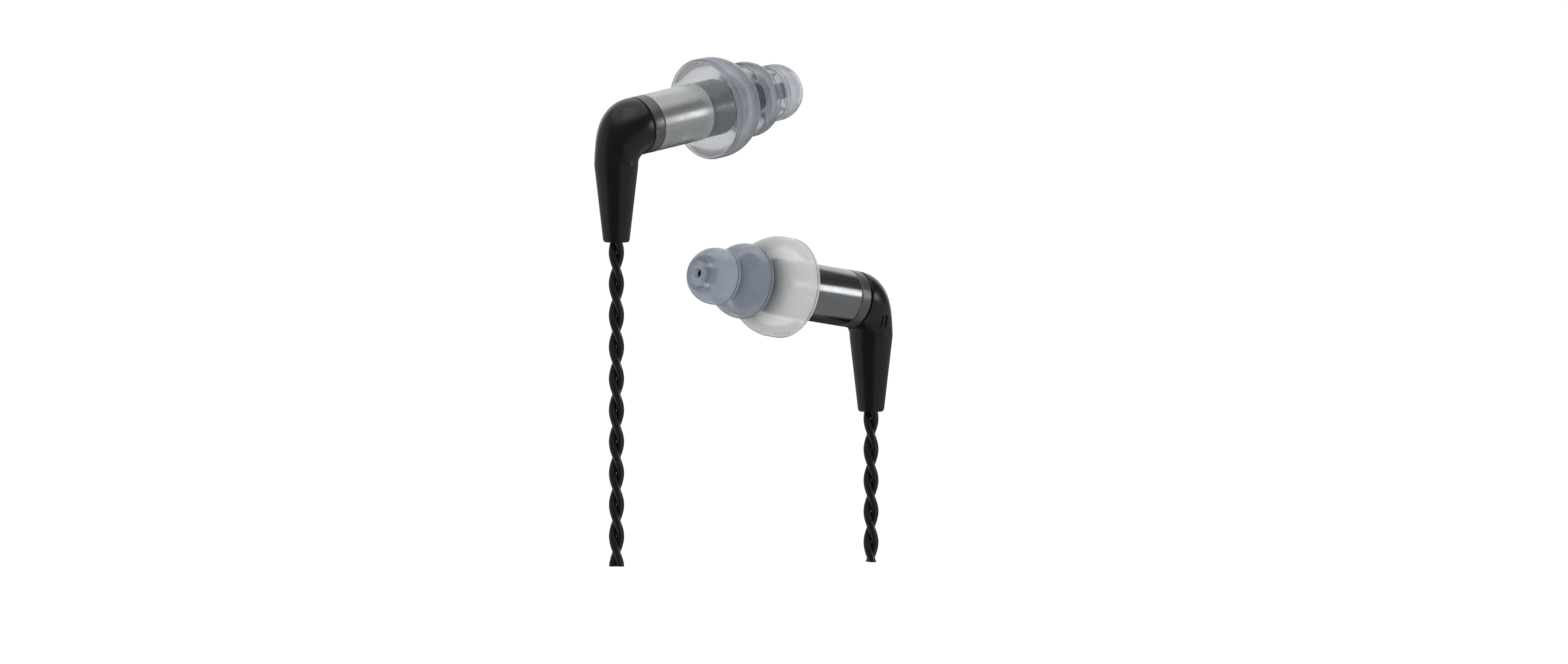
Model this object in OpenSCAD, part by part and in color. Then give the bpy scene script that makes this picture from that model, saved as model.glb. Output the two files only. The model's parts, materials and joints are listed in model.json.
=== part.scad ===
// In ear monitors: two earpieces that face each other, on twisted leads with swivel plugs.
// X runs from the right earpiece to the left one, Z is up and the leads hang along -Z.
// The origin is midway between the leads, level with the cut end of the left lead.
// "Station" below means the distance from a swivel centre along the barrel, towards the ear tip.

/* [Layout] */
// Distance between the two hanging leads
lead_spacing = 41; // [36:0.5:70]
// Height of the right swivel centre
right_height = 52.1; // [50:0.1:70]
// Height of the left swivel centre
left_height = 30.8; // [26:0.1:31]
// Upward tilt of both barrels in degrees
tilt = 8.8; // [0:0.2:10]

/* [Barrel] */
// Outer diameter of the barrel, collar and elbow face
barrel_d = 6.8; // [6.6:0.1:7.4]
// Wall thickness of the barrel tube
barrel_wall = 0.4; // [0.3:0.05:0.5]
// Station of the elbow's front face
elbow_face = 3; // [2.8:0.1:3]
// Gap between the elbow and the collar
swivel_gap = 0.22; // [0.1:0.02:0.3]
// Station where the collar ends and the barrel tube begins
collar_end = 4.74; // [4.5:0.02:4.9]
// Station where the barrel tube ends and the nozzle housing begins
barrel_end = 12.6; // [12:0.1:13]
// Station of the nozzle housing's front shoulder
shoulder = 16.5; // [16.3:0.1:16.8]
// Station of the nozzle's front end
nozzle_end = 22.5; // [22:0.1:23]

/* [Ear tip] */
// Outer radius of the rear flange
large_flange = 5.95; // [5.4:0.05:6.3]
// Outer radius of the middle flange
middle_flange = 4.45; // [4.1:0.05:4.8]
// Outer radius of the front flange
small_flange = 3.35; // [3:0.05:3.6]
// Thickness of the silicone flanges
flange_wall = 0.4; // [0.3:0.05:0.5]
// Station of the ear tip's front face
tip_front = 28.5; // [28.2:0.1:28.6]

/* [Elbow] */
// How far the elbow's leg reaches below the swivel centre
leg_length = 12.95; // [12.5:0.05:15]
// Radius of the leg just below the bend
leg_top_r = 2.58; // [2.5:0.02:2.7]
// Radius of the leg near its lower end
leg_end_r = 1.6; // [1.6:0.02:2]

/* [Lead] */
// Diameter of one insulated wire
wire_d = 0.9; // [0.8:0.05:0.9]
// Length of one full turn of the twisted pair
lay = 7.35; // [5:0.05:12]
// Height of the right lead's cut end
right_cut = 1.4; // [0.5:0.1:10]

/* [Hidden] */
$fn = 48;
SIDES = ["right", "left"];
PARTS = [
    "barrel", "nozzle", "rear_ring", "driver_boot", "driver_case", "driver_cover",
    "driver_coil", "driver_yoke", "driver_magnets", "driver_reed", "driver_diaphragm",
    "drive_pin", "driver_wires", "terminal_board", "jack_shell", "jack_insulator",
    "jack_contact", "filter_cup", "filter_mesh", "ear_tip", "snap_ring", "plug_shell",
    "plug_insulator", "plug_pin", "elbow_core", "elbow_cover", "plug_wires",
    "lead_jackets", "lead_cores"
];

barrel_r = barrel_d / 2;
bore_r = barrel_r - barrel_wall;
collar_start = elbow_face + swivel_gap;
chamfer = 0.1;
slip = 0.03; // running clearance of the parts that slide or turn
over = 1; // how far a cut runs past the face it opens
skirt_end = 6.2; // the collar's inner skirt reaches this far into the barrel

// coaxial plug and jack
pin_r = 0.22;
pin_tail = 0.5;
plug_r = 1.22;
plug_bore = 0.85;
plug_end = 5.6;
plug_flange_r = 1.7;
plug_flange_start = 1.6;
plug_flange_end = 2.2;
plug_insulator_end = 3.6;
groove_r = plug_r - 0.2;
groove_start = 4.17;
groove_end = 4.63;
jack_r = plug_r + 2 * slip;
jack_start = collar_start + 0.13;
jack_step = 5;
jack_flange_end = 5.6;
jack_floor = 5.9;
jack_end = 7;
jack_collar_r = 2;
jack_flange_r = 2.6;
jack_rear_r = 1.7;
jack_groove = 0.14;
contact_r = 0.45;
contact_start = 4.9;
tail_r = 0.2;
tail_length = 0.5;
ring_opening = 60;
ring_slack = 0.02;

// balanced armature driver: stations run from its rear wall, and y and z are across the barrel
board_rear = 8;
board_y = 1.7;
board_z = 1.2;
pad_r = 0.35;
pad_y = 1;
pad_t = 0.05;
driver_wire_r = 0.08;
boot_start = 9.2;
boot_length = 1.6;
case_rear = 8.4;
case_front = 14.4;
case_y = 2.15;
case_z = 1.5;
sheet = 0.15;
case_top = case_z - sheet;
coil_start = 9.2;
coil_end = 11.2;
coil_y = 1.2;
coil_top = 0.45;
coil_hole_y = 0.75;
motor_start = 11.5;
motor_end = 13.5;
yoke_y = 1.3;
yoke_top = 0.55;
yoke_wall = 0.3;
magnet_y = 0.95;
magnet_low = yoke_wall - case_top;
magnet_high = yoke_top - yoke_wall;
magnet_gap = 0.25;
reed_end = 14;
reed_y = 0.6;
reed_z = -0.4;
reed_t = 0.2;
drive_pin_at = 13.8;
drive_pin_r = 0.06;
diaphragm_z = 0.75;
diaphragm_t = 0.08;
slot_y = 0.65;
slot_low = diaphragm_z + 0.12;
hood_front = 15;
hood_y = 0.95;
spout_r = 0.85;
spout_bore = 0.5;
spout_end = 15.9;

// nozzle and ear tip
housing_r = barrel_r - 0.1;
spigot_start = barrel_end - 1.2;
housing_r_in = bore_r - 0.3;
housing_wall = shoulder - 1.2;
shoulder_chamfer = 0.4;
sound_r = 0.95;
sound_start = spout_end + 0.1;
stem_r = 1.5;
barb_r = stem_r + 0.1;
barb_start = nozzle_end - 1;
barb_slope = 0.2;
barb_nose = 0.3;
filter_start = nozzle_end - 1.9;
filter_end = nozzle_end - 0.3;
filter_lip = 0.15;
filter_r_in = 0.8;
filter_mouth = 0.6;
mesh_t = 0.12;
mesh_pitch = 0.28;
mesh_hole_r = 0.08;
tip_bore = barb_r + slip;
tip_core = 2.3;
tip_rear = shoulder + 0.05;
tip_step = nozzle_end + 0.3;
large_centre = 15.5;
large_rim = 14.1;
middle_centre = 20.8;
middle_rim = 20.25;
small_centre = 25.6;
small_rim = 24.55;
rim_round = 0.12;
throat = 0.2;
outlet_r = 0.6;
outlet_round = 0.1;
outlet_start = [1.2, 0.8]; // how far behind the front face the channel starts and stops narrowing
nose_r = 1.45;
nose_round = 0.3;
valley = 0.62;
valley_width = 0.15;
dome_root = 2.05;

// elbow: the sections of the bend fan out from one line just outside the inner corner
hinge_line = [3.3, -3.9];
bend_inner_leg = hinge_line[0] - leg_top_r;
bend_outer_leg = hinge_line[0] + leg_top_r;
hinge_drop = hinge_line[1] * cos(tilt) - hinge_line[0] * sin(tilt);
bend_inner_face = -hinge_drop - barrel_r;
bend_outer_face = -hinge_drop + barrel_r;
bend_steps = 10;
bend_fullness = 2.4; // a higher power keeps the outside of the bend closer to the corner's chord
loop_n = 32;
lip_rise = 0.6;
lip_inset = 0.32;
core_r = 2.2;
core_rear = -1.2;
core_rear_r = 1.2;
core_shoulder = 0.6;
core_leg = 8;
core_leg_top = 0.5;
core_leg_r = [1.35, 1.85];
solder_room_r = 1;
solder_room = 0.8;
channel_r = wire_d + 0.04;
channel_top = 0.3;
mouth_r = [1.23, 1];
mouth_depth = 0.8;
wire_bend = 3.5;
wire_tail_r = 0.15;
bar_at = [0.1, 0.75];
bar_size = [0.3, 0.8, 1.5];
bar_centre = [2.51, -2.1];
bar_lean = 12;
notch_width = 0.8;
notch_depth = 0.35;
notch_length = 0.5;

// twisted lead
wire_offset = wire_d / 2 + 0.01;
core_wire_r = 0.24;
slices_per_turn = 10;
crossing_angle = 46.6; // direction of the pair where its two wires line up
right_crossing = 3.1;
left_crossing = 0.5;

function height_of(side) = side == "right" ? right_height : left_height;
function cut_of(side) = side == "right" ? right_cut : 0;
function lead_length(side) = height_of(side) - leg_length - cut_of(side);
function crossing_of(side) = side == "right" ? right_crossing : left_crossing;
function cut_angle(side) = crossing_angle + 360 * (crossing_of(side) - cut_of(side)) / lay;
function exit_angle(side) = cut_angle(side) - 360 * lead_length(side) / lay;
function mix(a, b, u) = a + (b - a) * u;

// puts a piece that is drawn round its own swivel centre in its place
module place(side) {
    facing = side == "right" ? 0 : 180;
    x = side == "right" ? -lead_spacing / 2 : lead_spacing / 2;
    translate([x, 0, height_of(side)]) rotate([0, 0, facing]) children();
}

// turns a piece drawn along X onto the tilted axis of the barrel
module on_axis() rotate([0, -tilt, 0]) children();

// a turned piece: each point is [radius, station]
module lathe(points) on_axis() rotate([0, 90, 0]) rotate_extrude() polygon(points);

module tube(outer, inner, start, end) {
    lathe([[inner, start], [outer, start], [outer, end], [inner, end]]);
}

// a box across the barrel, centred in y
module slab(start, end, half_y, low, high) {
    on_axis() translate([start, -half_y, low]) cube([end - start, 2 * half_y, high - low]);
}

// a straight round wire between two points
module rod(from, to, r) {
    d = to - from;
    translate(from)
        rotate([0, acos(d[2] / norm(d)), atan2(d[1], d[0])])
            cylinder(r = r, h = norm(d));
}

// ---- earpiece body ----

module barrel() color([0.72, 0.74, 0.70]) lathe([
    [bore_r, collar_end], [barrel_r - chamfer, collar_end], [barrel_r, collar_end + chamfer],
    [barrel_r, barrel_end - chamfer], [barrel_r - chamfer, barrel_end], [bore_r, barrel_end]
]);

module nozzle() color([0.45, 0.46, 0.48]) lathe([
    [housing_r_in, spigot_start], [bore_r, spigot_start], [bore_r, barrel_end],
    [housing_r, barrel_end], [housing_r, shoulder - shoulder_chamfer],
    [housing_r - shoulder_chamfer, shoulder], [stem_r, shoulder], [stem_r, barb_start],
    [barb_r, barb_start + barb_slope], [barb_r, nozzle_end - barb_nose],
    [barb_r - barb_slope, nozzle_end], [sound_r, nozzle_end],
    [sound_r, sound_start], [spout_r, sound_start], [spout_r, housing_wall],
    [housing_r_in, housing_wall]
]);

module rear_ring() color([0.29, 0.28, 0.29]) lathe([
    [jack_collar_r, collar_start], [barrel_r - chamfer, collar_start],
    [barrel_r, collar_start + chamfer], [barrel_r, collar_end - chamfer],
    [barrel_r - chamfer, collar_end], [bore_r, collar_end], [bore_r, skirt_end],
    [jack_flange_r, skirt_end], [jack_flange_r, jack_step], [jack_collar_r, jack_step]
]);

module driver_boot() color([0.15, 0.15, 0.16]) difference() {
    on_axis() translate([boot_start, 0, 0]) rotate([0, 90, 0]) cylinder(r = bore_r, h = boot_length);
    slab(boot_start - over, boot_start + boot_length + over, case_y, -case_z, case_z);
}

module driver_case() color([0.78, 0.79, 0.80]) difference() {
    union() {
        slab(case_rear, case_front, case_y, -case_z, case_top);
        slab(case_front - sheet, hood_front, hood_y, -hood_y, case_top);
        on_axis() translate([hood_front - sheet, 0, 0]) rotate([0, 90, 0])
            cylinder(r = spout_r, h = spout_end - hood_front + sheet);
    }
    slab(case_rear + sheet, case_front - sheet, case_y - sheet, -case_top, case_z);
    slab(case_front, hood_front - sheet, hood_y - sheet, sheet - hood_y, case_top - sheet);
    // sound leaves the space above the diaphragm through this slot
    slab(case_front - 2 * sheet, case_front + sheet, slot_y, slot_low, case_top - sheet);
    on_axis() translate([hood_front - 2 * sheet, 0, 0]) rotate([0, 90, 0])
        cylinder(r = spout_bore, h = spout_end - hood_front + 2 * sheet + over);
}

module driver_cover() color([0.82, 0.83, 0.84]) slab(case_rear, case_front, case_y, case_top, case_z);

module driver_coil() color([0.72, 0.40, 0.20]) difference() {
    slab(coil_start, coil_end, coil_y, -case_top, coil_top);
    slab(coil_start - over, coil_end + over, coil_hole_y, reed_z - reed_t, reed_z + reed_t);
}

module driver_yoke() color([0.50, 0.50, 0.53]) difference() {
    slab(motor_start, motor_end, yoke_y, -case_top, yoke_top);
    slab(motor_start - over, motor_end + over, yoke_y - yoke_wall, magnet_low, magnet_high);
}

// one block above the reed and one below it
module driver_magnets() color([0.60, 0.61, 0.65]) {
    slab(motor_start, motor_end, magnet_y, reed_z + magnet_gap, magnet_high);
    slab(motor_start, motor_end, magnet_y, magnet_low, reed_z - magnet_gap);
}

module driver_reed() color([0.66, 0.66, 0.68]) union() {
    slab(case_rear + sheet, reed_end, reed_y, reed_z - reed_t / 2, reed_z + reed_t / 2);
    slab(case_rear + sheet, case_rear + sheet + reed_t, reed_y, -case_top, reed_z);
}

module driver_diaphragm() color([0.86, 0.80, 0.62])
    slab(case_rear + sheet, case_front - sheet, case_y - sheet, diaphragm_z, diaphragm_z + diaphragm_t);

module drive_pin() color([0.80, 0.80, 0.82])
    on_axis() translate([drive_pin_at, 0, reed_z + reed_t / 2])
        cylinder(r = drive_pin_r, h = diaphragm_z - reed_z - reed_t / 2);

// the live wire from the contact's tail and the ground wire from the shell, both to the board's pads
module driver_wires() color([0.75, 0.15, 0.12]) on_axis() {
    pad_face = board_rear - pad_t - driver_wire_r;
    rod([jack_end + tail_length, tail_r + 0.1, 0], [pad_face, pad_y - 0.05, 0], driver_wire_r);
    rod([jack_end + 0.05, 0.2 - jack_rear_r, 0], [pad_face, -pad_y - 0.05, 0], driver_wire_r);
}

module terminal_board() color([0.10, 0.36, 0.20]) union() {
    slab(board_rear, case_rear, board_y, -board_z, board_z);
    for (y = [-pad_y, pad_y])
        on_axis() translate([board_rear - pad_t, y, 0]) rotate([0, 90, 0]) cylinder(r = pad_r, h = 2 * pad_t);
}

module jack_shell() color([0.83, 0.66, 0.30]) lathe([
    [jack_r + chamfer, jack_start], [jack_collar_r, jack_start], [jack_collar_r, jack_step],
    [jack_flange_r, jack_step], [jack_flange_r, jack_flange_end], [jack_rear_r, jack_flange_end],
    [jack_rear_r, jack_end], [jack_r, jack_end], [jack_r, groove_end + slip],
    [jack_r + jack_groove, groove_end + slip], [jack_r + jack_groove, groove_start - slip],
    [jack_r, groove_start - slip], [jack_r, jack_start + chamfer]
]);

module jack_insulator() color([0.92, 0.91, 0.88]) tube(jack_r, contact_r, jack_floor, jack_end);

module jack_contact() color([0.86, 0.70, 0.32]) lathe([
    [0, jack_floor - 0.2], [pin_r + slip, jack_floor - 0.2], [pin_r + slip, contact_start],
    [contact_r, contact_start], [contact_r, jack_end], [tail_r, jack_end],
    [tail_r, jack_end + tail_length], [0, jack_end + tail_length]
]);

module filter_cup() color([0.80, 0.62, 0.28]) lathe([
    [filter_r_in, filter_start], [sound_r, filter_start], [sound_r, filter_end],
    [filter_mouth, filter_end], [filter_mouth, filter_end - filter_lip],
    [filter_r_in, filter_end - filter_lip]
]);

module filter_mesh() color([0.55, 0.56, 0.58]) difference() {
    tube(filter_r_in, 0, filter_end - filter_lip - mesh_t, filter_end - filter_lip);
    for (ring = [0:2], k = [0:max(0, 6 * ring - 1)])
        on_axis() rotate([60 * k / max(1, ring), 0, 0])
            translate([filter_end - over, 0, mesh_pitch * ring])
                rotate([0, 90, 0]) cylinder(r = mesh_hole_r, h = 2 * over);
}

// ---- ear tip body ----

// points of one flange's profile, from the core outwards over the dome, round the rim and back inside
function dome(centre, r, from, to, n = 12) =
    [for (i = [0:n]) let (a = mix(from, to, i / n)) [r * cos(a), centre + r * sin(a)]];
function flange(centre, r, rim, root) = let (inner = r - flange_wall) concat(
    dome(centre, r, acos(root / r), 0),
    [
        [r, rim + rim_round], [r - rim_round, rim],
        [inner + rim_round, rim], [inner, rim + rim_round]
    ],
    dome(centre, inner, 0, acos(tip_core / inner))
);

module ear_tip() color([0.70, 0.72, 0.75]) lathe(concat(
    [
        [tip_core, tip_rear], [tip_bore, tip_rear], [tip_bore, tip_step],
        [sound_r, tip_step + throat], [sound_r, tip_front - outlet_start[0]],
        [outlet_r, tip_front - outlet_start[1]], [outlet_r, tip_front - outlet_round],
        [outlet_r + outlet_round, tip_front], [nose_r - nose_round, tip_front],
        [nose_r, tip_front - nose_round], [nose_r + valley_width, tip_front - valley]
    ],
    flange(small_centre, small_flange, small_rim, dome_root),
    flange(middle_centre, middle_flange, middle_rim, tip_core),
    flange(large_centre, large_flange, large_rim, tip_core)
));

// ---- plug and its snap ring ----

module snap_ring() color([0.86, 0.86, 0.88])
    on_axis() rotate([0, 90, 0]) rotate([0, 0, ring_opening / 2])
        rotate_extrude(angle = 360 - ring_opening)
            translate([groove_r + ring_slack, groove_start + slip])
                square([plug_r - groove_r + slip - ring_slack, groove_end - groove_start - 2 * slip]);

module plug_shell() color([0.84, 0.68, 0.30]) lathe([
    [plug_bore, 0], [plug_r, 0], [plug_r, plug_flange_start], [plug_flange_r, plug_flange_start],
    [plug_flange_r, plug_flange_end], [plug_r, plug_flange_end], [plug_r, groove_start],
    [groove_r, groove_start], [groove_r, groove_end], [plug_r, groove_end],
    [plug_r, plug_end - 2 * chamfer], [plug_r - chamfer, plug_end], [plug_bore, plug_end]
]);

module plug_insulator() color([0.93, 0.92, 0.90]) tube(plug_bore, pin_r, 0, plug_insulator_end);

module plug_pin() color([0.87, 0.72, 0.34]) lathe([
    [0, -pin_tail], [pin_r, -pin_tail], [pin_r, plug_end - 3 * chamfer],
    [pin_r - chamfer, plug_end - chamfer], [0, plug_end - chamfer]
]);

// outer shape of the elbow's hard core, which the soft cover is moulded over
module core_shape(front) {
    lathe([
        [0, core_rear], [core_rear_r, core_rear], [core_r, core_shoulder], [core_r, front], [0, front]
    ]);
    translate([0, 0, -core_leg])
        cylinder(r1 = core_leg_r[0], r2 = core_leg_r[1], h = core_leg - core_leg_top);
}

module elbow_core() color([0.20, 0.19, 0.19]) difference() {
    union() core_shape(elbow_face);
    tube(plug_r, 0, 0, elbow_face + over);
    tube(plug_flange_r, 0, plug_flange_start, plug_flange_end);
    tube(solder_room_r, 0, -solder_room, chamfer);
    translate([0, 0, -core_leg - over]) cylinder(r = channel_r, h = core_leg + over - channel_top);
}

// each section of the elbow is [centre x, centre z, lean in degrees, radius]
function bend_section(u) = let (
    swell = sin(90 * u) ^ bend_fullness,
    inner = mix(bend_inner_leg, bend_inner_face, u),
    outer = mix(bend_outer_leg, bend_outer_face, swell),
    lean = mix(180, 90 + tilt, u),
    reach = (inner + outer) / 2
) [hinge_line[0] + reach * cos(lean), hinge_line[1] + reach * sin(lean), lean, (outer - inner) / 2];
// the leg's lower edge, rounded over an angle from 0 at the end face to 90 on the side
function lip_section(a) =
    [0, lip_rise * (1 - cos(a)) - leg_length, 180, leg_end_r - lip_inset * (1 - sin(a))];
elbow_sections = concat(
    [for (a = [0:30:90]) lip_section(a)],
    [for (i = [0:bend_steps]) bend_section(i / bend_steps)],
    [[elbow_face * cos(tilt), elbow_face * sin(tilt), 90 + tilt, barrel_r]]
);
function loop_points(s) = [for (k = [0:loop_n - 1]) let (a = 360 * k / loop_n)
    [s[0] + s[3] * cos(a) * cos(s[2]), s[3] * sin(a), s[1] + s[3] * cos(a) * sin(s[2])]];

module elbow_skin() {
    rows = len(elbow_sections);
    points = [for (s = elbow_sections) each loop_points(s)];
    sides = [for (i = [0:rows - 2], k = [0:loop_n - 1]) let (
        a = i * loop_n + k, b = i * loop_n + (k + 1) % loop_n, c = b + loop_n, d = a + loop_n
    ) each [[a, b, c], [a, c, d]]];
    bottom = [for (k = [loop_n - 1:-1:0]) k];
    face = [for (k = [0:loop_n - 1]) (rows - 1) * loop_n + k];
    polyhedron(points, concat(sides, [bottom, face]));
}

module elbow_cover() color([0.14, 0.12, 0.125]) difference() {
    union() {
        elbow_skin();
        // two raised bars on the outer cheek tell the wearer which way the elbow faces
        for (x = bar_at)
            translate([x, bar_centre[0], bar_centre[1]])
                rotate([-bar_lean, 0, 0]) cube(bar_size, center = true);
    }
    core_shape(elbow_face + over);
    translate([0, 0, -leg_length - over]) cylinder(r = channel_r, h = leg_length);
    // flared mouth that lets the lead swing
    translate([0, 0, -leg_length - slip]) cylinder(r1 = mouth_r[0], r2 = mouth_r[1], h = mouth_depth);
    // small key notch under the front face
    on_axis() translate([elbow_face - notch_length, -notch_width / 2, -barrel_r - over])
        cube([notch_length + over, notch_width, notch_depth + over]);
}

module plug_wires(side) color([0.16, 0.15, 0.15]) {
    ends = [[-0.45, 0, -0.42], [-0.12, 0, -1.18]];
    for (k = [0, 1]) let (a = exit_angle(side) + 180 * k, foot = wire_offset * [cos(a), sin(a)]) union() {
        translate([foot[0], foot[1], mouth_depth - leg_length])
            cylinder(r = wire_d / 2, h = leg_length - mouth_depth - wire_bend);
        rod([foot[0], foot[1], -wire_bend - chamfer], ends[k], wire_tail_r);
    }
}

// ---- lead body ----

// two strands laid up as a left-handed pair, from the cut end up to the elbow's mouth
module strands(side) {
    h = lead_length(side);
    for (k = [0, 1])
        translate([0, 0, -leg_length - h]) rotate([0, 0, cut_angle(side) + 180 * k])
            linear_extrude(
                height = h, twist = 360 * h / lay, slices = round(slices_per_turn * h / lay), segments = 6
            ) translate([wire_offset, 0]) children();
}

module lead_jackets(side) color([0.12, 0.11, 0.115]) strands(side) difference() {
    circle(r = wire_d / 2, $fn = 12);
    circle(r = core_wire_r, $fn = 6);
}

module lead_cores(side) color([0.74, 0.42, 0.22]) strands(side) circle(r = core_wire_r, $fn = 6);

for (side = SIDES) place(side) {
    barrel();
    nozzle();
    rear_ring();
    driver_boot();
    driver_case();
    driver_cover();
    driver_coil();
    driver_yoke();
    driver_magnets();
    driver_reed();
    driver_diaphragm();
    drive_pin();
    driver_wires();
    terminal_board();
    jack_shell();
    jack_insulator();
    jack_contact();
    filter_cup();
    filter_mesh();
    ear_tip();
    snap_ring();
    plug_shell();
    plug_insulator();
    plug_pin();
    elbow_core();
    elbow_cover();
    plug_wires(side);
    lead_jackets(side);
    lead_cores(side);
}
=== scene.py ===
import json
import math

import bmesh
import bpy
from mathutils import Matrix, Vector


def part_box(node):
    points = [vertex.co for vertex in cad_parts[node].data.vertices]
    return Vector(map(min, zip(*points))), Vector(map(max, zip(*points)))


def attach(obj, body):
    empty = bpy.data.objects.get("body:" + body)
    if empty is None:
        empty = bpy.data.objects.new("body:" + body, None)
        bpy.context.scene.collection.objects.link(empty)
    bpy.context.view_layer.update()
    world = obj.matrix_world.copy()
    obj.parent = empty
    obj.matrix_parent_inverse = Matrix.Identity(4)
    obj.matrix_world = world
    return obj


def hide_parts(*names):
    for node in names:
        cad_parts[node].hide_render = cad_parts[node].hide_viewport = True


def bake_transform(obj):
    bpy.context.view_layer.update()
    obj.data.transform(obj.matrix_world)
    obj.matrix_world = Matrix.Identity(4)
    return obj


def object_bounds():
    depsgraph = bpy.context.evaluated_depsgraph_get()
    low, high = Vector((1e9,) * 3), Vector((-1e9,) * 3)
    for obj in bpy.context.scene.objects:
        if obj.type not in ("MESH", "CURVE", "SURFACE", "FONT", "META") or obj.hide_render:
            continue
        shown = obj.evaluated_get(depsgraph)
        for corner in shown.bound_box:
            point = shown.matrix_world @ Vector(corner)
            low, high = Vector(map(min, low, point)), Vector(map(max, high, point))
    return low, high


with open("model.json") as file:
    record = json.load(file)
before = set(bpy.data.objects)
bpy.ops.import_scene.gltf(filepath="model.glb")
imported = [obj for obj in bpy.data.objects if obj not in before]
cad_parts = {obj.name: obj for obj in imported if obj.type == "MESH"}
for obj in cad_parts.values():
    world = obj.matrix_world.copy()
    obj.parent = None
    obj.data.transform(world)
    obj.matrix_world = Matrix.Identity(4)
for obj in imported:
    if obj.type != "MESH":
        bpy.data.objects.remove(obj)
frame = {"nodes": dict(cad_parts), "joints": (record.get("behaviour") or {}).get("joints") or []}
cad_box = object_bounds()
joints = {j["name"]: j for j in frame["joints"]}

# Sizes in millimetres. "Station" is the distance from a swivel centre along the barrel, towards the ear tip.
MM = 0.001
BARREL_R = 3.4
BARREL_BORE = 3.0
DRIVER_BORE = 2.7  # room for the driver's rubber boot
STEM_R = 1.5  # the nozzle's stem, which the ear tip sits on
SPOUT_R = 0.85
ELBOW_FACE = 3.0
COLLAR_START, COLLAR_END = 3.22, 4.74
BARREL_END = 12.6
SHOULDER = 16.5
NOZZLE_END = 22.5
TIP_FRONT = 28.5
SOUND_R = 0.95
OUTLET_R = 0.6
BORE_R = 1.63
TIP_CORE = 2.3
FLANGE_WALL = 0.4
NOSE_R = 1.45
RIMS = 24.55, 20.25, 14.1  # stations of the front, middle and rear flange's rims
GROOVE_START, GROOVE_END, GROOVE_DEPTH = 0.34, 0.54, 0.07  # the fine groove behind each rim
WIRE_R = 0.45
WIRE_OFFSET = 0.455  # from the lead's middle to each wire's
STRAND_R, STRAND_PITCH = 0.075, 0.155
CHANNEL_R = 0.94  # the lead's way up through the elbow
LAY = 7.35  # one full turn of the twisted pair
CAMERA_AZIMUTH, CAMERA_ELEVATION = -43.4, 2.9
CAMERA_AIM = Vector((3.33, -3.15, 28.0)) * MM
CAMERA_DISTANCE = 1.5
PICTURE_WIDTH = 0.184  # width of the view at the object, in metres
SOFT_LIGHT = 1.07  # brightness of the white surroundings

view_forward = Vector((
    math.sin(math.radians(-CAMERA_AZIMUTH)) * math.cos(math.radians(CAMERA_ELEVATION)),
    math.cos(math.radians(CAMERA_AZIMUTH)) * math.cos(math.radians(CAMERA_ELEVATION)),
    -math.sin(math.radians(CAMERA_ELEVATION)),
))


class Side:
    """One earphone's places, read from the frame's joints."""

    def __init__(self, name):
        self.name = name
        swivel = joints[f"{name}_swivel"]
        flex = joints[f"{name}_lead_flex"]
        self.centre = Vector(swivel["pos_m"])
        self.axis = Vector(swivel["axis"]).normalized()
        self.mouth = Vector(flex["pos_m"])
        self.leg_length = (self.centre.z - self.mouth.z) / MM
        self.tilt = math.atan2(self.axis.z, abs(self.axis.x))
        self.turn = 0 if self.axis.x > 0 else math.pi
        scale = Matrix.Scale(MM, 4)
        self.leg = Matrix.Translation(self.centre) @ Matrix.Rotation(self.turn, 4, "Z") @ scale
        self.barrel = self.leg @ Matrix.Rotation(-self.tilt, 4, "Y")
        self.cut_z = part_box(f"{name}_lead_jackets")[0].z

    def node(self, part):
        return f"{self.name}_{part}"


SIDES = [Side("right"), Side("left")]

# ---- outlines and meshes, drawn in millimetres ----


def rounded(corners, steps=5):
    """A closed outline whose corners are [x, y] or [x, y, cut], where cut is how far the rounding reaches."""
    outline = []
    for i, corner in enumerate(corners):
        here = Vector(corner[:2])
        cut = corner[2] if len(corner) > 2 else 0
        if not cut:
            outline.append(tuple(here))
            continue
        back = Vector(corners[i - 1][:2]) - here
        ahead = Vector(corners[(i + 1) % len(corners)][:2]) - here
        a = here + back.normalized() * min(cut, back.length * 0.49)
        b = here + ahead.normalized() * min(cut, ahead.length * 0.49)
        for k in range(steps + 1):
            t = k / steps
            outline.append(tuple(a * (1 - t) ** 2 + here * 2 * t * (1 - t) + b * t * t))
    return outline


def turns(count):
    return [2 * math.pi * k / count for k in range(count)]


def join_rings(bm, near, far):
    """Faces between two loops of points; a loop of one point closes to a tip."""
    count = max(len(near), len(far))
    if count == 1:
        return
    for k in range(count):
        corners = [near[k % len(near)], near[(k + 1) % len(near)], far[(k + 1) % len(far)], far[k % len(far)]]
        bm.faces.new(list(dict.fromkeys(corners)))


def lathe(outline, segments=128):
    """A turned solid round the barrel axis, from a closed outline of [radius, station]."""
    bm = bmesh.new()
    rings = []
    for radius, station in outline:
        if radius < 1e-6:
            rings.append([bm.verts.new((station, 0, 0))])
        else:
            rings.append([
                bm.verts.new((station, radius * math.sin(a), radius * math.cos(a))) for a in turns(segments)
            ])
    for near, far in zip(rings, rings[1:] + rings[:1]):
        join_rings(bm, near, far)
    return bm


def sweep(bm, sections):
    """A closed tube through loops of points, with flat ends."""
    rings = [[bm.verts.new(p) for p in section] for section in sections]
    for near, far in zip(rings, rings[1:]):
        join_rings(bm, near, far)
    bm.faces.new(rings[0])
    bm.faces.new(rings[-1])


def to_object(name, bm, place, materials, sharp=40):
    """Makes the mesh an object in the row frame, smooth except over sharp edges."""
    bm.transform(place)
    bmesh.ops.recalc_face_normals(bm, faces=bm.faces)
    mesh = bpy.data.meshes.new(name)
    bm.to_mesh(mesh)
    bm.free()
    mesh.shade_smooth()
    mesh.set_sharp_from_angle(angle=math.radians(sharp))
    for material in materials:
        mesh.materials.append(material)
    piece = bpy.data.objects.new(name, mesh)
    bpy.context.scene.collection.objects.link(piece)
    return piece


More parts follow.
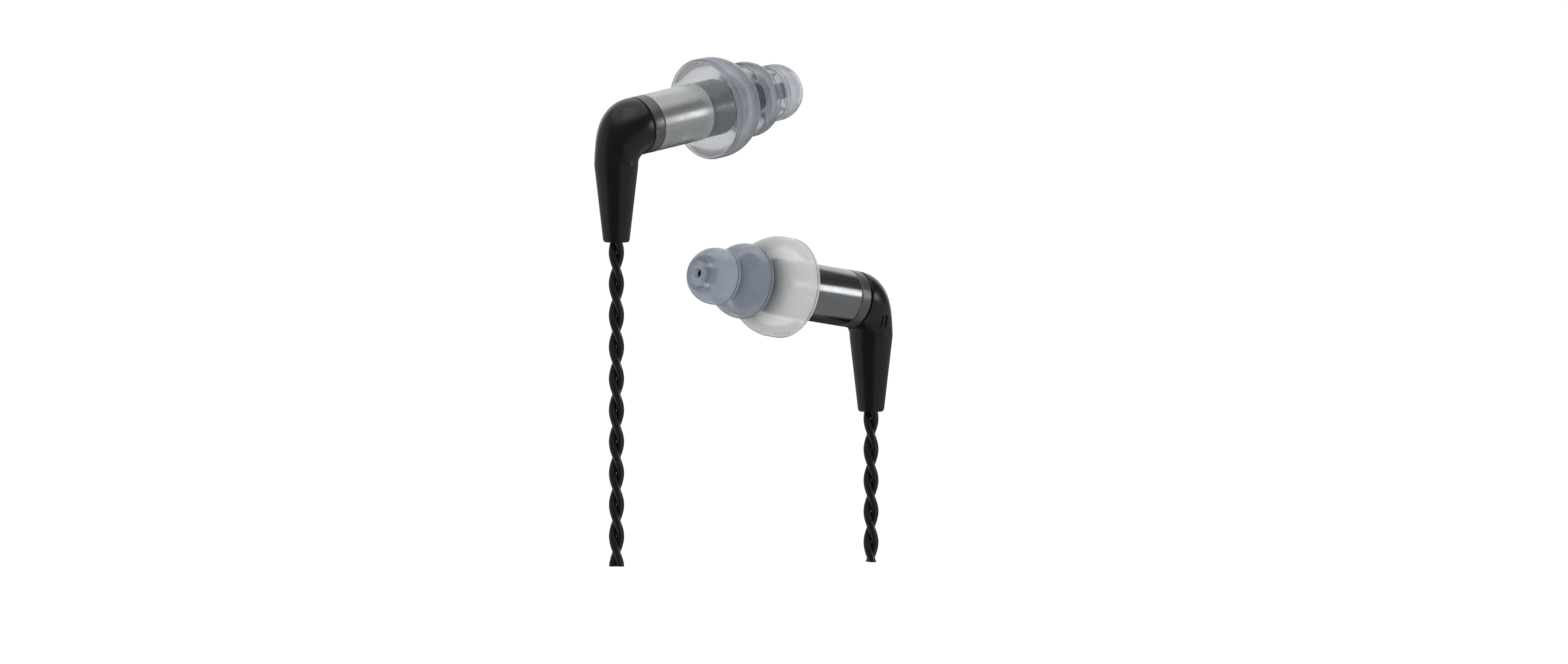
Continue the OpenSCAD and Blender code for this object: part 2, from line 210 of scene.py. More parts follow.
def carve(piece, cutter, operation="DIFFERENCE"):
    """Cuts the cutter out of the piece, or joins it on, and removes the cutter."""
    modifier = piece.modifiers.new("carve", "BOOLEAN")
    modifier.operation = operation
    modifier.solver = "EXACT"
    modifier.object = cutter
    bpy.context.view_layer.update()
    evaluated = piece.evaluated_get(bpy.context.evaluated_depsgraph_get())
    carved = bpy.data.meshes.new_from_object(evaluated)
    piece.modifiers.remove(modifier)
    piece.data = carved
    bpy.data.objects.remove(cutter)
    carved.shade_smooth()
    carved.set_sharp_from_angle(angle=math.radians(32))


# ---- materials ----


class Shader:
    """A node material with short ways to add nodes."""

    def __init__(self, name):
        self.material = bpy.data.materials.new(name)
        self.material.use_nodes = True
        self.tree = self.material.node_tree
        self.bsdf = self.tree.nodes["Principled BSDF"]
        self.output = self.tree.nodes["Material Output"]
        self.where = self.node("TexCoord").outputs["Object"]

    def feed(self, socket, value):
        if isinstance(value, bpy.types.NodeSocket):
            self.tree.links.new(value, socket)
        else:
            socket.default_value = value

    def node(self, kind, inputs=None, **settings):
        made = self.tree.nodes.new("ShaderNode" + kind)
        for key, value in settings.items():
            setattr(made, key, value)
        for key, value in (inputs or {}).items():
            self.feed(made.inputs[key], value)
        return made

    def set(self, **values):
        for key, value in values.items():
            self.feed(self.bsdf.inputs[key.replace("_", " ")], value)

    def noise(self, size_mm, detail=3, vector=None, stretch=(1, 1, 1)):
        """Noise whose features are about size_mm across."""
        mapping = self.node("Mapping", {"Vector": vector or self.where, "Scale": stretch})
        return self.node("TexNoise", {
            "Vector": mapping.outputs[0], "Scale": 1 / (size_mm * MM), "Detail": detail
        }).outputs["Fac"]

    def spread(self, value, low, high):
        """Maps a noise value onto low to high."""
        return self.node("MapRange", {
            "Value": value, "From Min": 0.3, "From Max": 0.7, "To Min": low, "To Max": high
        }).outputs[0]

    def mix(self, factor, a, b):
        made = self.node("Mix", data_type="RGBA")
        self.feed(made.inputs[0], factor)
        self.feed(made.inputs[6], a)
        self.feed(made.inputs[7], b)
        return made.outputs[2]

    def bump(self, height, depth_mm, strength=1.0, normal=None):
        inputs = {"Height": height, "Distance": depth_mm * MM, "Strength": strength}
        if normal:
            inputs["Normal"] = normal
        return self.node("Bump", inputs).outputs[0]

    def edges(self, low=0.52, high=0.62):
        """1 on convex edges and 0 elsewhere."""
        point = self.node("NewGeometry").outputs["Pointiness"]
        return self.node("MapRange", {"Value": point, "From Min": low, "From Max": high}).outputs[0]

    def station(self, side):
        """Distance along a side's barrel, in metres."""
        offset = self.node("VectorMath", {0: self.where, 1: side.centre}, operation="SUBTRACT").outputs[0]
        return self.node("VectorMath", {0: offset, 1: side.axis}, operation="DOT_PRODUCT").outputs["Value"]


def rgb(r, g, b):
    return (r, g, b, 1)


def turned_metal(name, side, colour, roughness, edge_colour, metallic=1.0):
    """Metal turned on a lathe: fine rings, slight clouding and paler convex edges."""
    s = Shader(name)
    rings = s.node("TexNoise", {
        "W": s.station(side), "Scale": 1 / (0.06 * MM), "Detail": 2
    }, noise_dimensions="1D").outputs["Fac"]
    clouds = s.noise(1.6)
    grit = s.noise(0.05, 2)
    tint = s.mix(s.spread(clouds, 0, 0.35), rgb(*colour), rgb(*[c * 0.86 for c in colour]))
    s.set(
        Base_Color=s.mix(s.edges(), tint, rgb(*edge_colour)), Metallic=metallic,
        Roughness=s.spread(clouds, roughness * 0.9, roughness * 1.12),
        Normal=s.bump(rings, 0.002, 0.35, s.bump(grit, 0.001, 0.25)),
    )
    return s.material


def silicone(side, stem, inside, rear, middle, front, limb, tint, cloud, stem_reach):
    """Frosted silicone with painted light and shade: painted dim and bluish round the stem, paler on the thin
    skirts.

    stem, inside, rear, middle and front are painted tones near the stem, inside the skirts and on each flange:
    painted shade round the stem and behind the rims, painted light on the skirts. limb is the painted tone where
    the surface is seen edge on, and tint the clear part's. cloud is how much of it is milky, and stem_reach how
    far from the axis, in mm, the stem's painted shade fades out.
    """
    s = Shader(side.node("tip_silicone"))
    station = s.station(side)
    soft_edge = 0.05
    stem_fade = 2.8
    middle_start, front_start = 20.3, 24.4  # stations where the middle and the front flange's tones begin

    def beyond(start):
        return s.node("MapRange", {
            "Value": station, "From Min": (start - soft_edge) * MM, "From Max": (start + soft_edge) * MM
        }).outputs[0]

    frost = s.noise(0.3, 3)
    haze = s.noise(2.5, 2)
    surface = s.node("NewGeometry").outputs["Normal"]
    offset = s.node("VectorMath", {0: s.where, 1: side.centre}, operation="SUBTRACT").outputs[0]
    on_axis = s.node("VectorMath", {0: side.axis, "Scale": station}, operation="SCALE").outputs[0]
    outward = s.node("VectorMath", {0: offset, 1: on_axis}, operation="SUBTRACT").outputs[0]
    radius = s.node("VectorMath", {0: outward}, operation="LENGTH").outputs["Value"]
    facing_out = s.node("VectorMath", {0: outward, 1: surface}, operation="DOT_PRODUCT").outputs["Value"]
    is_outside = s.node("MapRange", {
        "Value": facing_out, "From Min": -0.5 * MM, "From Max": 0.5 * MM
    }).outputs[0]
    # the painted shade round the stem fades out with distance from the axis
    past_stem_shade = s.node("MapRange", {
        "Value": radius, "From Min": stem_fade * MM, "From Max": stem_reach * MM
    }, interpolation_type="SMOOTHSTEP").outputs[0]
    facing = s.node("LayerWeight", {"Blend": 0.35}).outputs["Facing"]
    edge_on = s.node("Math", {0: facing, 1: 2.0}, operation="POWER").outputs[0]

    # painted light and shade: the stem's surroundings, the skirts' insides and each flange get their own tone
    behind_front = s.mix(beyond(middle_start), rgb(*rear), rgb(*middle))
    outside = s.mix(beyond(front_start), behind_front, rgb(*front))
    stem_shade_tone = s.mix(beyond(middle_start), rgb(*stem), outside)
    tone = s.mix(past_stem_shade, stem_shade_tone, s.mix(is_outside, rgb(*inside), outside))
    tone = s.mix(s.spread(haze, 0.0, 0.10), tone, rgb(0.5, 0.53, 0.58))
    for rim in RIMS:  # painted shade darkens a band over the fine groove behind each rim
        ends = {0: beyond(rim + GROOVE_START), 1: beyond(rim + GROOVE_END)}
        band = s.node("Math", ends, operation="SUBTRACT").outputs[0]
        shade = s.node("Math", {0: band, 1: 0.6}, operation="MULTIPLY").outputs[0]
        tone = s.mix(shade, tone, rgb(*stem))

    # where the surface is seen edge on, the clear part takes the limb tint and the milky skin a painted limb
    # tone of light and shade
    clear = s.node("BsdfTransparent", {"Color": s.mix(edge_on, rgb(*tint), rgb(*limb))})
    normal = s.bump(frost, 0.003, 0.3)
    milk = s.node("BsdfTranslucent", {"Color": tone, "Normal": normal})
    skin = s.node("BsdfDiffuse", {"Color": s.mix(edge_on, tone, rgb(*limb)), "Normal": normal})
    cloudy = s.node("MixShader", {0: 0.6, 1: milk.outputs[0], 2: skin.outputs[0]})
    cover = s.spread(haze, cloud - 0.03, cloud + 0.03)
    body = s.node("MixShader", {0: cover, 1: clear.outputs[0], 2: cloudy.outputs[0]})
    sheen = s.node("BsdfGlossy", {
        "Color": rgb(1, 1, 1), "Roughness": s.spread(haze, 0.24, 0.34), "Normal": normal
    })
    coat = s.node("Fresnel", {"IOR": 1.22}).outputs[0]
    whole = s.node("MixShader", {0: coat, 1: body.outputs[0], 2: sheen.outputs[0]})
    s.tree.links.new(whole.outputs[0], s.output.inputs["Surface"])
    return s.material


def soft_touch(name, colour, roughness, grain_mm, shine=0.5):
    """Soft moulded plastic with a fine spark-eroded grain."""
    s = Shader(name)
    grain = s.noise(grain_mm, 5)
    patches = s.noise(3.0)
    # paler along convex edges
    edge_paled = s.mix(s.edges(0.53, 0.66), rgb(*colour), rgb(*[c * 2.2 for c in colour]))
    s.set(
        Base_Color=s.mix(s.spread(patches, 0, 0.3), edge_paled, rgb(*[c * 1.35 for c in colour])),
        Roughness=s.spread(grain, roughness * 0.88, roughness * 1.15), Specular_IOR_Level=shine,
        Normal=s.bump(grain, 0.012, 0.35),
    )
    return s.material


def plain_metal(name, colour, roughness, grain_mm=0.08, stretch=(1, 1, 1)):
    s = Shader(name)
    grain = s.noise(grain_mm, 3, stretch=stretch)
    s.set(
        Base_Color=s.mix(s.spread(grain, 0, 0.3), rgb(*colour), rgb(*[c * 0.8 for c in colour])),
        Metallic=1.0, Roughness=s.spread(grain, roughness * 0.8, roughness * 1.2),
        Normal=s.bump(grain, 0.003, 0.4),
    )
    return s.material


def insulator(name, colour, translucency=0.15):
    s = Shader(name)
    grain = s.noise(0.15)
    s.set(
        Base_Color=s.mix(s.spread(grain, 0, 0.4), rgb(*colour), rgb(*[c * 0.9 for c in colour])),
        Roughness=s.spread(grain, 0.35, 0.5), Subsurface_Weight=translucency, Subsurface_Scale=0.0005,
        Normal=s.bump(grain, 0.004, 0.3),
    )
    return s.material


def wound_copper():
    """Enamelled wire laid side by side round the coil."""
    s = Shader("coil_wire")
    bands = s.node("TexWave", {
        "Vector": s.where, "Scale": 1 / (0.35 * MM), "Distortion": 0.4, "Detail": 1
    }, wave_type="BANDS", bands_direction="X").outputs["Fac"]
    s.set(
        Base_Color=s.mix(bands, rgb(0.25, 0.09, 0.03), rgb(0.75, 0.34, 0.15)), Metallic=0.9,
        Roughness=0.3, Normal=s.bump(bands, 0.03),
    )
    return s.material


def circuit_board():
    s = Shader("board_mask")
    weave = s.node("TexVoronoi", {"Vector": s.where, "Scale": 1 / (0.2 * MM)}).outputs["Distance"]
    s.set(
        Base_Color=s.mix(weave, rgb(0.01, 0.10, 0.045), rgb(0.02, 0.16, 0.07)), Roughness=0.3,
        Coat_Weight=0.4, Normal=s.bump(weave, 0.006, 0.4),
    )
    return s.material


def woven_mesh():
    s = Shader("filter_weave")
    weft = s.node("TexWave", {"Vector": s.where, "Scale": 1 / (0.3 * MM)}, bands_direction="Y").outputs["Fac"]
    warp = s.node("TexWave", {"Vector": s.where, "Scale": 1 / (0.3 * MM)}, bands_direction="Z").outputs["Fac"]
    cloth = s.node("Math", {0: weft, 1: warp}, operation="MULTIPLY").outputs[0]
    s.set(
        Base_Color=s.mix(cloth, rgb(0.12, 0.12, 0.13), rgb(0.55, 0.56, 0.58)), Metallic=0.8,
        Roughness=0.45, Normal=s.bump(cloth, 0.02),
    )
    return s.material


ELBOW = soft_touch("elbow_overmould", (0.0062, 0.0040, 0.0043), 0.25, 0.10, 0.66)
JACKET = soft_touch("lead_jacket", (0.0070, 0.0058, 0.0062), 0.25, 0.16, 0.8)
# painted shade: a dark lining for the tip's bore and sound channel, standing in for the shaded core seen through
# the silicone
CHANNEL_SHADE = soft_touch("tip_channel_shade", (0.036, 0.040, 0.050), 0.5, 0.2)
CORE_PLASTIC = soft_touch("core_moulding", (0.020, 0.019, 0.019), 0.36, 0.2)
BOOT = soft_touch("boot_rubber", (0.016, 0.016, 0.018), 0.6, 0.12)
GOLD = plain_metal("gold_plating", (0.83, 0.60, 0.24), 0.2)
COPPER = plain_metal("copper_strand", (0.80, 0.40, 0.20), 0.28)
STEEL = plain_metal("driver_steel", (0.62, 0.63, 0.64), 0.3, 0.05, (1, 6, 1))
MOTOR = plain_metal("motor_iron", (0.42, 0.42, 0.45), 0.42)
MAGNET = plain_metal("magnet_nickel", (0.52, 0.53, 0.56), 0.34)
FOIL = plain_metal("diaphragm_foil", (0.80, 0.72, 0.52), 0.35, 0.2)
SPRING = plain_metal("spring_steel", (0.66, 0.67, 0.70), 0.18)
PTFE = insulator("ptfe", (0.84, 0.83, 0.80))
COIL = wound_copper()
BOARD = circuit_board()
WEAVE = woven_mesh()

CAD_FINISH = {
    "driver_boot": BOOT, "driver_case": STEEL, "driver_cover": STEEL, "driver_coil": COIL,
    "driver_yoke": MOTOR, "driver_magnets": MAGNET, "driver_reed": MOTOR, "driver_diaphragm": FOIL,
    "drive_pin": MOTOR, "driver_wires": COPPER, "terminal_board": BOARD, "jack_shell": GOLD,
    "jack_insulator": PTFE, "jack_contact": GOLD, "filter_cup": GOLD, "filter_mesh": WEAVE,
    "snap_ring": SPRING, "plug_shell": GOLD, "plug_insulator": PTFE, "plug_pin": GOLD,
    "elbow_core": CORE_PLASTIC, "plug_wires": JACKET,
}


# ---- earpiece ----


def barrel(side, metal):
    outline = rounded([
        (BARREL_BORE, COLLAR_END + 0.02), (BARREL_R, COLLAR_END + 0.02, 0.10),
        (BARREL_R, BARREL_END, 0.16), (BARREL_BORE, BARREL_END),
    ])
    return to_object(side.node("barrel_tube"), lathe(outline, 160), side.barrel, [metal])


def nozzle(side, metal):
    housing = BARREL_R - 0.1
    ridge = STEM_R + 0.1
    spigot_end = BARREL_END - 1.2
    driver_end, sound_start = 15.3, 16.0
    outline = rounded([
        (DRIVER_BORE, spigot_end), (BARREL_BORE, spigot_end), (BARREL_BORE, BARREL_END),
        (housing, BARREL_END, 0.05), (housing, SHOULDER, 0.5), (STEM_R, SHOULDER, 0.12),
        (STEM_R, NOZZLE_END - 1.0, 0.1), (ridge, NOZZLE_END - 0.8, 0.1), (ridge, NOZZLE_END - 0.3, 0.15),
        (STEM_R - 0.1, NOZZLE_END, 0.08), (SOUND_R, NOZZLE_END, 0.08), (SOUND_R, sound_start),
        (SPOUT_R, sound_start), (SPOUT_R, driver_end), (DRIVER_BORE, driver_end),
    ])
    return to_object(side.node("nozzle_housing"), lathe(outline, 160), side.barrel, [metal])


def collar(side, metal):
    """The rear ring, with a fine groove where it meets the barrel tube."""
    mouth, bore = 2.0, 2.6
    step, spigot_end = 5.0, 6.2
    groove_floor = BARREL_R - 0.07
    outline = rounded([
        (mouth, COLLAR_START, 0.05), (BARREL_R, COLLAR_START, 0.12), (BARREL_R, COLLAR_END - 0.16, 0.03),
        (groove_floor, COLLAR_END - 0.13, 0.02), (groove_floor, COLLAR_END - 0.04, 0.02),
        (BARREL_R - 0.02, COLLAR_END, 0.02), (BARREL_BORE, COLLAR_END), (BARREL_BORE, spigot_end),
        (bore, spigot_end), (bore, step), (mouth, step),
    ])
    return to_object(side.node("collar"), lathe(outline, 160), side.barrel, [metal])


def dome(centre, radius, depth, start, stop, steps=22):
    """Points [radius, station] along a flange's round face, between two angles from the rim."""
    angles = [start + (stop - start) * k / steps for k in range(steps + 1)]
    return [(radius * math.cos(a), centre + depth * math.sin(a)) for a in angles]


def flange(centre, radius, rim, root_radius, depth):
    """One flange: over its dome, depth mm deep, down the skirt, round the rim and back up inside to the core."""
    inner = radius - FLANGE_WALL
    half = FLANGE_WALL / 2
    slope = 0.05
    groove = [
        (radius, rim + GROOVE_END), (radius - GROOVE_DEPTH, rim + GROOVE_END - slope),
        (radius - GROOVE_DEPTH, rim + GROOVE_START + slope), (radius, rim + GROOVE_START),
    ]
    lip = [
        (inner + half + half * math.cos(a), rim + half - half * math.sin(a))
        for a in [math.pi * k / 10 for k in range(11)]
    ]
    return (
        dome(centre, radius, depth, math.acos(root_radius / radius), 0) + groove + lip
        + dome(centre, inner, depth - FLANGE_WALL, 0, math.acos(TIP_CORE / inner))
    )


def ear_tip(side, material):
    """The three flange tip as one moulding, with its sound channel and a raised lip round the outlet."""
    dome_root = 2.05
    valley = 0.62  # how deep the ring round the nose is
    outline = [(TIP_CORE, SHOULDER + 0.1), (BORE_R + 0.12, SHOULDER + 0.05), (BORE_R, SHOULDER + 0.15)]
    outline += [(BORE_R, NOZZLE_END + 0.3), (SOUND_R, NOZZLE_END + 0.5)]
    outline += rounded([  # the sound outlet, its rounded nose and the valley round it
        (SOUND_R, TIP_FRONT - 1.4), (SOUND_R, TIP_FRONT - 1.2, 0.2), (OUTLET_R, TIP_FRONT - 0.8, 0.2),
        (OUTLET_R, TIP_FRONT, 0.1), (NOSE_R, TIP_FRONT, 0.6), (NOSE_R + 0.15, TIP_FRONT - valley, 0.25),
        (dome_root, TIP_FRONT - 0.25),
    ])[1:-1]
    front_rim, middle_rim, rear_rim = RIMS
    outline += flange(25.6, 3.35, front_rim, dome_root, 3.35)
    outline += flange(20.9, 4.45, middle_rim, TIP_CORE, 3.9)
    outline += flange(15.5, 5.95, rear_rim, TIP_CORE, 5.2)
    tip = lathe(outline, 160)
    for face in tip.faces:  # the bore and the sound channel get a dark lining of painted shade for the tip's core
        middle = face.calc_center_median()
        is_narrow = math.hypot(middle.y, middle.z) < BORE_R + 0.1
        face.material_index = 1 if is_narrow and middle.x < TIP_FRONT - 0.75 else 0
    return to_object(side.node("triple_flange"), tip, side.barrel, [material, CHANNEL_SHADE], 50)


# ---- elbow ----


def mix(a, b, u):
    return a + (b - a) * u


def elbow_sections(side, bend_steps=34, leg_steps=16):
    """Round sections from the leg's lower end up and round the bend to the front face."""
    hinge_x, hinge_z = 3.3, -3.9
    leg_top, leg_end = 2.58, 1.6
    lip_rise, lip_inset = 0.6, 0.32
    fullness = 2.4  # how late the outer bend swells
    front_round = 0.14
    drop = -(hinge_z * math.cos(side.tilt) - hinge_x * math.sin(side.tilt))
    length = side.leg_length
    sections = []
    for k in range(9):  # the lower edge is rounded
        a = math.pi / 2 * k / 8
        rise, inset = lip_rise * (1 - math.cos(a)), lip_inset * (1 - math.sin(a))
        sections.append((0, rise - length, math.pi, leg_end - inset))
    for k in range(1, leg_steps):
        u = k / leg_steps
        sections.append((0, mix(lip_rise - length, hinge_z, u), math.pi, mix(leg_end, leg_top, u)))
    for k in range(bend_steps + 1):
        u = k / bend_steps
        inner = mix(hinge_x - leg_top, drop - BARREL_R, u)
        outer = mix(hinge_x + leg_top, drop + BARREL_R, math.sin(math.pi / 2 * u) ** fullness)
        lean = mix(math.pi, math.pi / 2 + side.tilt, u)
        reach = (inner + outer) / 2
        centre = (hinge_x + reach * math.cos(lean), hinge_z + reach * math.sin(lean))
        sections.append((*centre, lean, (outer - inner) / 2))
    for k in range(1, 8):  # and so is the front edge
        a = math.pi / 2 * k / 7
        station = ELBOW_FACE - front_round * (1 - math.sin(a))
        radius = BARREL_R - front_round * (1 - math.cos(a))
        centre = (station * math.cos(side.tilt), station * math.sin(side.tilt))
        sections.append((*centre, math.pi / 2 + side.tilt, radius))
    return sections


def rounded_block(size, radius, steps):
    block = bmesh.new()
    bmesh.ops.create_cube(block, size=1)
    bmesh.ops.scale(block, vec=size, verts=block.verts)
    bmesh.ops.bevel(block, geom=block.edges, offset=radius, segments=steps, affect="EDGES")
    return block


def elbow(side, around=96):
    """The soft overmould, with its parting line, side marks, lead mouth and the space for the hard core."""
    loops = []
    for x, z, lean, radius in elbow_sections(side):
        loop = []
        for a in turns(around):
            # a fine parting line stands up along the outer and the inner bend
            ridge = 0.02 if abs(math.sin(a)) < 0.01 else 0
            reach = (radius + ridge) * math.cos(a)
            loop.append((x + reach * math.cos(lean), radius * math.sin(a), z + reach * math.sin(lean)))
        loops.append(loop)
    skin = bmesh.new()
    sweep(skin, loops)
    piece = to_object(side.node("elbow"), skin, side.leg, [ELBOW])

    for x in (0.1, 0.75):  # two raised bars on the outer cheek, leaning with it
        bar = rounded_block((0.3, 0.8, 1.5), 0.1, 4)
        bmesh.ops.rotate(bar, matrix=Matrix.Rotation(math.radians(-12), 3, "X"), verts=bar.verts)
        bmesh.ops.translate(bar, vec=(x, 2.51, -2.1), verts=bar.verts)
        carve(piece, to_object("cutter", bar, side.leg, []), "UNION")

    core_r = 2.2
    past_face = ELBOW_FACE + 1
    core = lathe(rounded([(0, -1.2), (1.2, -1.2), (core_r, 0.6), (core_r, past_face), (0, past_face)]), 96)
    carve(piece, to_object("cutter", core, side.barrel, []))

    bottom = -side.leg_length
    channel_top = -8.0
    profile = [  # radius and height: the flared mouth, the lead's channel, then the room for the core's leg
        (1.3, bottom - 0.4), (1.23, bottom), (1.0, bottom + 0.8), (CHANNEL_R, bottom + 0.85),
        (CHANNEL_R, channel_top), (1.35, channel_top), (1.85, -0.5),
    ]
    leg = bmesh.new()
    sweep(leg, [[(r * math.cos(a), r * math.sin(a), z) for a in turns(64)] for r, z in profile])
    carve(piece, to_object("cutter", leg, side.leg, []))

    notch = rounded_block((1.0, 0.8, 0.9), 0.1, 3)
    bmesh.ops.translate(notch, vec=(ELBOW_FACE, 0, -BARREL_R - 0.1), verts=notch.verts)
    carve(piece, to_object("cutter", notch, side.barrel, []))
    return piece


# ---- twisted lead ----


def strand_points(side, phase, offset, top, bottom, steps_per_turn=30):
    """Points along one strand of the left-handed pair, in the leg's frame, from its cut end up."""
    crossing = {"right": 3.1, "left": 0.5}[side.name] * MM
    line_of_sight = math.atan2(view_forward.y, view_forward.x)
    steps = round((top - bottom) / LAY * steps_per_turn)
    points = []
    for k in range(steps + 1):
        z = mix(bottom, top, k / steps)
        height = side.centre.z + z * MM
        angle = line_of_sight - 2 * math.pi * (height - crossing) / (LAY * MM) + phase - side.turn
        points.append((offset * math.cos(angle), offset * math.sin(angle), z))
    return points


def tube_along(bm, points, radius, around):
    """A round wire along the points, square to its own path."""
    sections = []
    path = [Vector(p) for p in points]
    for k, here in enumerate(path):
        along = (path[min(k + 1, len(path) - 1)] - path[max(k - 1, 0)]).normalized()
        if k in (0, len(path) - 1):
            along = Vector((0, 0, 1))  # the ends are cut square across the lead
        side_way = along.cross(Vector((0, 1, 0))).normalized()
        other_way = along.cross(side_way)
        sections.append([
            here + (side_way * math.cos(a) + other_way * math.sin(a)) * radius for a in turns(around)
        ])
    sweep(bm, sections)


def lead(side):
    """Both insulated wires, and the bare copper strands that show at their cut ends."""
    bottom = (side.cut_z - side.centre.z) / MM
    top = -side.leg_length + 0.75
    jackets, copper = bmesh.new(), bmesh.new()
    for phase in (0, math.pi):
        wire = strand_points(side, phase, WIRE_OFFSET, top, bottom)
        tube_along(jackets, wire, WIRE_R, 24)
        lay_up = [(0, 0)] + [(STRAND_PITCH * math.cos(a), STRAND_PITCH * math.sin(a)) for a in turns(6)]
        for dx, dy in lay_up:
            fine = [(x + dx, y + dy, z) for x, y, z in wire]
            tube_along(copper, fine, STRAND_R, 8)
    return [
        to_object(side.node("lead_wires"), jackets, side.leg, [JACKET]),
        to_object(side.node("lead_copper"), copper, side.leg, [COPPER]),
    ]


# ---- build both sides ----

# painted light: the same barrel metal gets a paler copy on the right and a darker one on the left, matching how
# each side was lit
BARREL_METALS_PAINTED_LIGHT = {
    "right": {"colour": (0.56, 0.58, 0.575), "roughness": 0.28, "metallic": 0.84},
    "left": {"colour": (0.42, 0.43, 0.44), "roughness": 0.18, "metallic": 1.0},
}
# painted light and shade: the same silicone gets its own tones on each side, matching how each side was lit
TIP_PAINTED_TONES = {
    "right": {
        "stem": (0.20, 0.23, 0.29), "inside": (0.98, 0.98, 0.98), "rear": (0.34, 0.37, 0.43),
        "middle": (0.30, 0.33, 0.39), "front": (0.70, 0.72, 0.76), "limb": (0.66, 0.69, 0.74),
        "tint": (0.95, 0.96, 0.97), "cloud": 0.50, "stem_reach": 3.8,
    },
    "left": {
        "stem": (0.03, 0.035, 0.055), "inside": (0.92, 0.92, 0.93), "rear": (0.95, 0.95, 0.95),
        "middle": (0.36, 0.40, 0.48), "front": (0.50, 0.55, 0.64), "limb": (0.80, 0.82, 0.86),
        "tint": (0.94, 0.95, 0.96), "cloud": 0.55, "stem_reach": 5.7,
    },
}
for side in SIDES:
    earpiece, plug, wires = side.node("earpiece"), side.node("plug"), side.node("lead")
    tube_metal = turned_metal(
        side.node("barrel_metal"), side, edge_colour=(0.8, 0.82, 0.81), **BARREL_METALS_PAINTED_LIGHT[side.name]
    )
    nozzle_metal = turned_metal(
        side.node("nozzle_metal"), side, colour=(0.30, 0.32, 0.33), roughness=0.26, edge_colour=(0.5, 0.51, 0.52)
    )
    collar_metal = turned_metal(
        side.node("collar_metal"), side, colour=(0.20, 0.19, 0.20), roughness=0.34,
        edge_colour=(0.45, 0.44, 0.45), metallic=0.85,
    )
    tip_silicone = silicone(side, **TIP_PAINTED_TONES[side.name])
    replacements = [
        (barrel(side, tube_metal), earpiece, "barrel", "barrel_silver"),
        (nozzle(side, nozzle_metal), earpiece, "nozzle", "nozzle_grey"),
        (collar(side, collar_metal), earpiece, "rear_ring", "collar_gunmetal"),
        (ear_tip(side, tip_silicone), side.node("tip"), "ear_tip", "tip_silicone"),
        (elbow(side), plug, "elbow_cover", "elbow_soft"),
    ]
    for piece, body, node, slot in replacements:
        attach(piece, body)
        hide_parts(side.node(node))
    for piece, node, slot in zip(lead(side), ("lead_jackets", "lead_cores"), ("lead_black", "copper")):
        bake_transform(piece)
        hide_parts(side.node(node))
    for part, material in CAD_FINISH.items():
        cad = frame["nodes"][side.node(part)]
        cad.data.materials.clear()
        cad.data.materials.append(material)


# ---- studio ----


def floor():
    """A plain pale floor, a little below the cut ends of the leads."""
    bm = bmesh.new()
    bmesh.ops.create_grid(bm, x_segments=8, y_segments=8, size=14)
    mesh = bpy.data.meshes.new("studio_floor")
    bm.to_mesh(mesh)
    bm.free()
    s = Shader("floor_paint")
    s.set(
        Base_Color=s.mix(s.noise(400), rgb(0.95, 0.95, 0.95), rgb(0.97, 0.97, 0.97)),
        Roughness=0.9, Specular_IOR_Level=0.0,
    )
    mesh.materials.append(s.material)
    plane = bpy.data.objects.new("studio_floor", mesh)
    plane.location.z = cad_box[0][2] - 0.02
    plane.visible_glossy = False
    bpy.context.scene.collection.objects.link(plane)


def softbox(name, direction, distance, width, height, brightness):
    """An area light that faces the object from a direction, with an even brightness."""
    light = bpy.data.lights.new(name, "AREA")
    light.shape = "RECTANGLE"
    light.size, light.size_y = width, height
    light.energy = brightness * math.pi * width * height
    lamp = bpy.data.objects.new(name, light)
    toward = Vector(direction).normalized()
    lamp.location = CAMERA_AIM + toward * distance
    lamp.rotation_euler = toward.to_track_quat("Z", "Y").to_euler()
    bpy.context.scene.collection.objects.link(lamp)


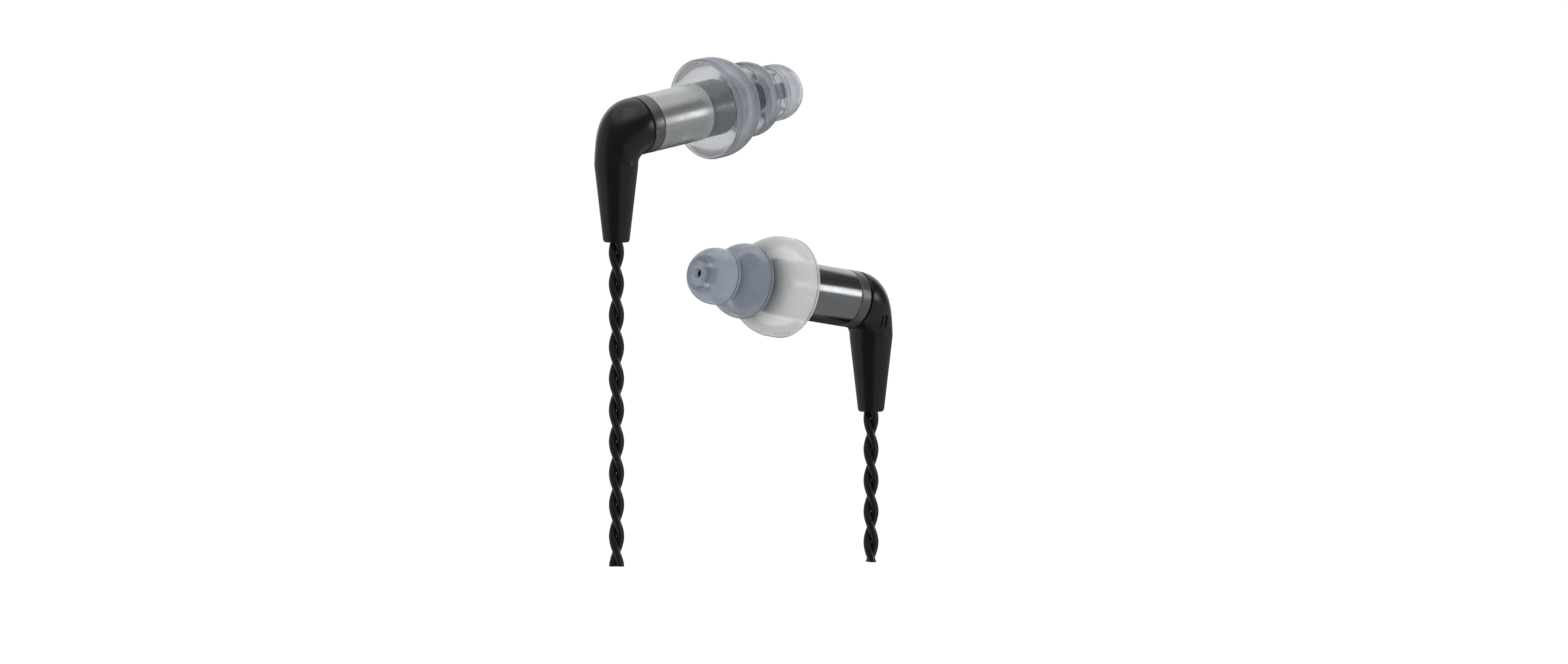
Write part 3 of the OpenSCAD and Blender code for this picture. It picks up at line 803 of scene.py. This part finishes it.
def studio_world():
    """White all round for the picture and its soft light. Reflections see a dark room with patches of light."""
    world = bpy.data.worlds.new("studio")
    world.use_nodes = True
    tree = world.node_tree
    background = tree.nodes["Background"]

    def node(kind, inputs=None, **settings):
        made = tree.nodes.new("ShaderNode" + kind)
        for key, value in settings.items():
            setattr(made, key, value)
        for key, value in (inputs or {}).items():
            if isinstance(value, bpy.types.NodeSocket):
                tree.links.new(value, made.inputs[key])
            else:
                made.inputs[key].default_value = value
        return made

    look = node("TexCoord").outputs["Generated"]
    height = node("SeparateXYZ", {0: look}).outputs["Z"]

    def ramp(value, start, full, brightness=1.0):
        return node("MapRange", {
            "Value": value, "From Min": start, "From Max": full, "To Min": 0.0, "To Max": brightness
        }, interpolation_type="SMOOTHSTEP").outputs[0]

    def glow(direction, full, start, brightness):
        """A round patch of light, whole within full degrees of its direction and gone beyond start degrees."""
        toward = Vector(direction).normalized()
        facing = node("VectorMath", {0: look, 1: toward}, operation="DOT_PRODUCT").outputs["Value"]
        return ramp(facing, math.cos(math.radians(start)), math.cos(math.radians(full)), brightness)

    def within(patch, zone):
        return node("Math", {0: patch, 1: zone}, operation="MULTIPLY").outputs[0]

    above, below = ramp(height, -0.12, 0.02), ramp(height, 0.05, -0.10)
    patches = [
        within(glow((0.66, 0.72, 0.22), 25, 45, 0.80), above),  # behind the object
        ramp(height, 0.62, 0.78, 0.60),  # overhead
        within(glow((0.65, -0.70, -0.30), 55, 68, 0.22), below),  # low, to the camera's right
        glow((-0.45, 0.89, -0.20), 35, 65, 0.28),  # low, to the camera's left
    ]
    room = 0.05
    for patch in patches:
        room = node("Math", {0: room, 1: patch}, operation="ADD").outputs[0]
    path = node("LightPath").outputs
    stays_outside = node("Math", {0: 1.0, 1: path["Is Transmission Ray"]}, operation="SUBTRACT").outputs[0]
    is_reflection = within(path["Is Glossy Ray"], stays_outside)
    strength = node("Mix", {0: is_reflection, 2: SOFT_LIGHT, 3: room}, data_type="FLOAT").outputs[0]
    background.inputs["Color"].default_value = (1, 1, 1, 1)
    tree.links.new(strength, background.inputs["Strength"])
    bpy.context.scene.world = world


def camera():
    lens = bpy.data.cameras.new("camera")
    lens.lens = lens.sensor_width * CAMERA_DISTANCE / PICTURE_WIDTH
    lens.clip_start, lens.clip_end = 0.05, 50
    viewer = bpy.data.objects.new("camera", lens)
    viewer.location = CAMERA_AIM - view_forward * CAMERA_DISTANCE
    viewer.rotation_euler = view_forward.to_track_quat("-Z", "Y").to_euler()
    bpy.context.scene.collection.objects.link(viewer)
    bpy.context.scene.camera = viewer


floor()
studio_world()
camera()
right_hand = Vector((view_forward.y, -view_forward.x, 0)).normalized()
softbox("strip", right_hand + Vector((0, 0, 0.17)), 0.6, 0.24, 0.17, 2.2)
softbox("top", -view_forward * 0.3 + Vector((0, 0, 1)), 0.8, 0.5, 0.5, 0.4)
bpy.context.scene.view_settings.view_transform = "Standard"
bpy.context.scene.cycles.use_denoising = True
